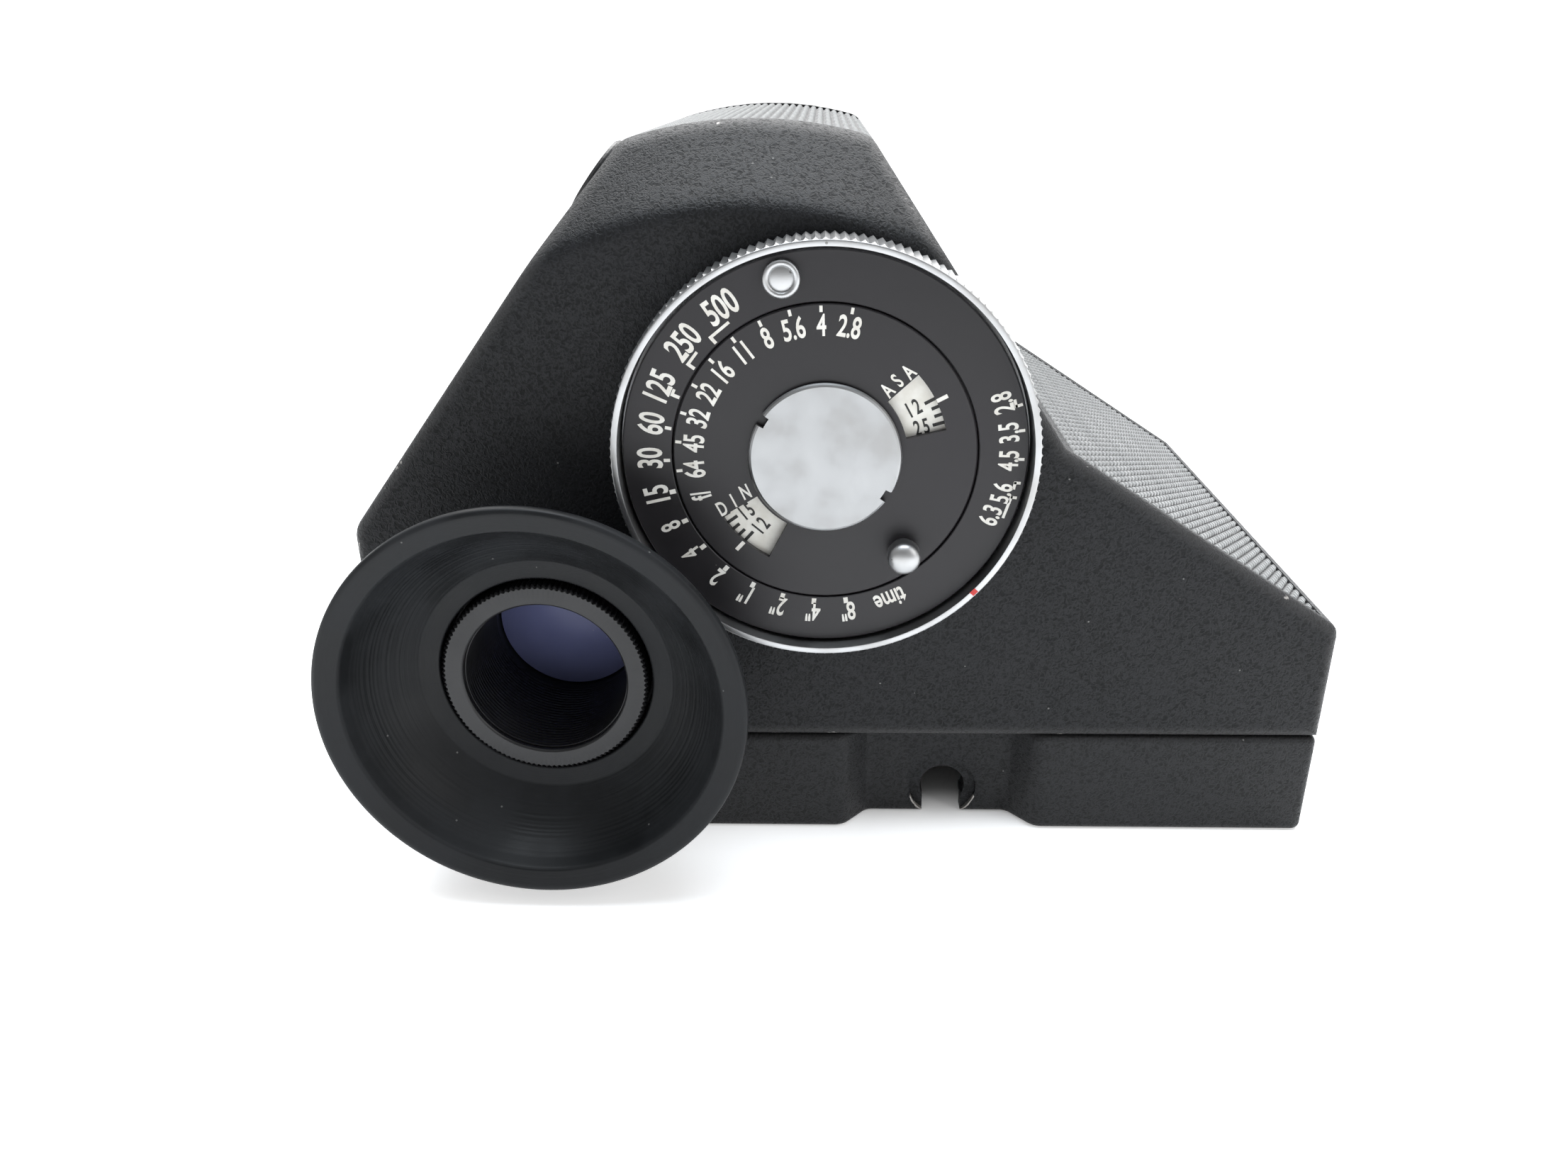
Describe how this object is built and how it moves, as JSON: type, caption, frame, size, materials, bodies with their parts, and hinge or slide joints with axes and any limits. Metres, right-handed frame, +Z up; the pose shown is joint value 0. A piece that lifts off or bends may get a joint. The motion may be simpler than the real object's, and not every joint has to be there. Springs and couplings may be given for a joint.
{
  "type": "metering camera viewfinder",
  "caption": "Black metering mirror finder for a twin-lens reflex camera, with an exposure calculator dial, rubber eyecup and ribbed leatherette covering.",
  "frame": {"origin": "middle of the bounding box's bottom face, on the surface that the base stands on", "axes": "+Z up; +Y from the eyepiece towards the front cover; +X to the user's right"},
  "size_m": [0.097, 0.0754, 0.0706],
  "materials": {
    "crinkle_enamel": "crinkle enamel on a die casting",
    "ribbed_leatherette": "fine ribbed grey-black leatherette",
    "eyecup_rubber": "matt dark grey rubber",
    "black_anodised": "black anodised",
    "satin_chrome": "satin",
    "dial_black": "satin black with white figures",
    "scale_white": "matt off-white with black figures",
    "coated_glass": "violet lens coating",
    "front_mirror": "front silvered",
    "black_moulding": "matt",
    "plated_steel": "nickel plated",
    "brass": "plain turned",
    "magnet_alloy": "sintered",
    "phenolic": "brown laminate",
    "needle_red": "red lacquer",
    "wire_red": "insulation",
    "wire_black": "insulation"
  },
  "bodies": {
    "housing": {"housing_shell": "crinkle_enamel", "front_cover": "crinkle_enamel", "base_frame": "crinkle_enamel", "roof_covering": "ribbed_leatherette", "side_covering": "ribbed_leatherette", "rubber_eyecup": "eyecup_rubber", "eyepiece_barrel": "black_anodised", "lens_spacer": "black_anodised", "dial_seat": "black_anodised", "centre_cap": "satin_chrome", "eye_lens": "coated_glass", "field_lens": "coated_glass", "main_mirror": "front_mirror", "side_mirror": "front_mirror", "eyepiece_mirror": "front_mirror", "main_mirror_holder": "black_moulding", "side_mirror_holder": "black_moulding", "eyepiece_mirror_bracket": "black_moulding", "battery_chamber": "black_moulding", "button_cell": "plated_steel", "contact_spring": "plated_steel", "cover_screw_1": "plated_steel", "cover_screw_2": "plated_steel", "cover_screw_3": "plated_steel", "cover_screw_4": "plated_steel", "base_screw_1": "plated_steel", "base_screw_2": "plated_steel", "base_screw_3": "plated_steel", "base_screw_4": "plated_steel", "dial_spindle": "brass", "meter_bridge": "brass", "meter_magnet": "magnet_alloy", "resistor_track": "phenolic", "wire_positive": "wire_red", "wire_negative": "wire_black"},
    "ring": {"knurled_ring": "satin_chrome", "wiper": "brass"},
    "time_disc": {"time_disc": "dial_black", "film_speed_disc": "scale_white", "index_button": "satin_chrome"},
    "aperture_disc": {"aperture_disc": "dial_black", "finger_pin": "satin_chrome"},
    "needle": {"meter_coil": "brass", "meter_needle": "needle_red"},
    "switch": {"switch_knob": "black_anodised", "cell_arm": "brass", "photocell": "phenolic"},
    "battery_cap": {"battery_cap": "satin_chrome"},
    "retaining_ring": {"retaining_ring": "black_anodised"}
  },
  "joints": [
    {"name": "ring_turn", "type": "hinge", "parent": "housing", "child": "ring", "pos_m": [-0.0021, -0.02395, 0.0427], "axis": [0, -1, 0], "range_deg": [-150, 150]},
    {"name": "time_disc_turn", "type": "hinge", "parent": "ring", "child": "time_disc", "pos_m": [-0.0021, -0.02395, 0.0427], "axis": [0, -1, 0], "range_deg": [-60, 10]},
    {"name": "aperture_disc_turn", "type": "hinge", "parent": "time_disc", "child": "aperture_disc", "pos_m": [-0.0021, -0.02395, 0.0427], "axis": [0, -1, 0], "range_deg": [-90, 90]},
    {"name": "needle_swing", "type": "hinge", "parent": "housing", "child": "needle", "pos_m": [-0.0022, 0.00105, 0.0616], "axis": [0, -1, 0], "range_deg": [-20, 20], "stiffness_Nm_per_rad": 0.0001},
    {"name": "switch_turn", "type": "hinge", "parent": "housing", "child": "switch", "pos_m": [-0.02617, 0.01205, 0.06202], "axis": [-0.7881, 0, 0.6155], "range_deg": [0, 90]},
    {"name": "battery_cap_turn", "type": "hinge", "parent": "housing", "child": "battery_cap", "pos_m": [-0.0479, 0.02005, 0.0226], "axis": [-1, 0, 0], "range_deg": [0, 60]},
    {"name": "retaining_ring_turn", "type": "hinge", "parent": "housing", "child": "retaining_ring", "pos_m": [-0.0287, -0.02395, 0.0218], "axis": [0, -1, 0], "continuous": true}
  ]
}
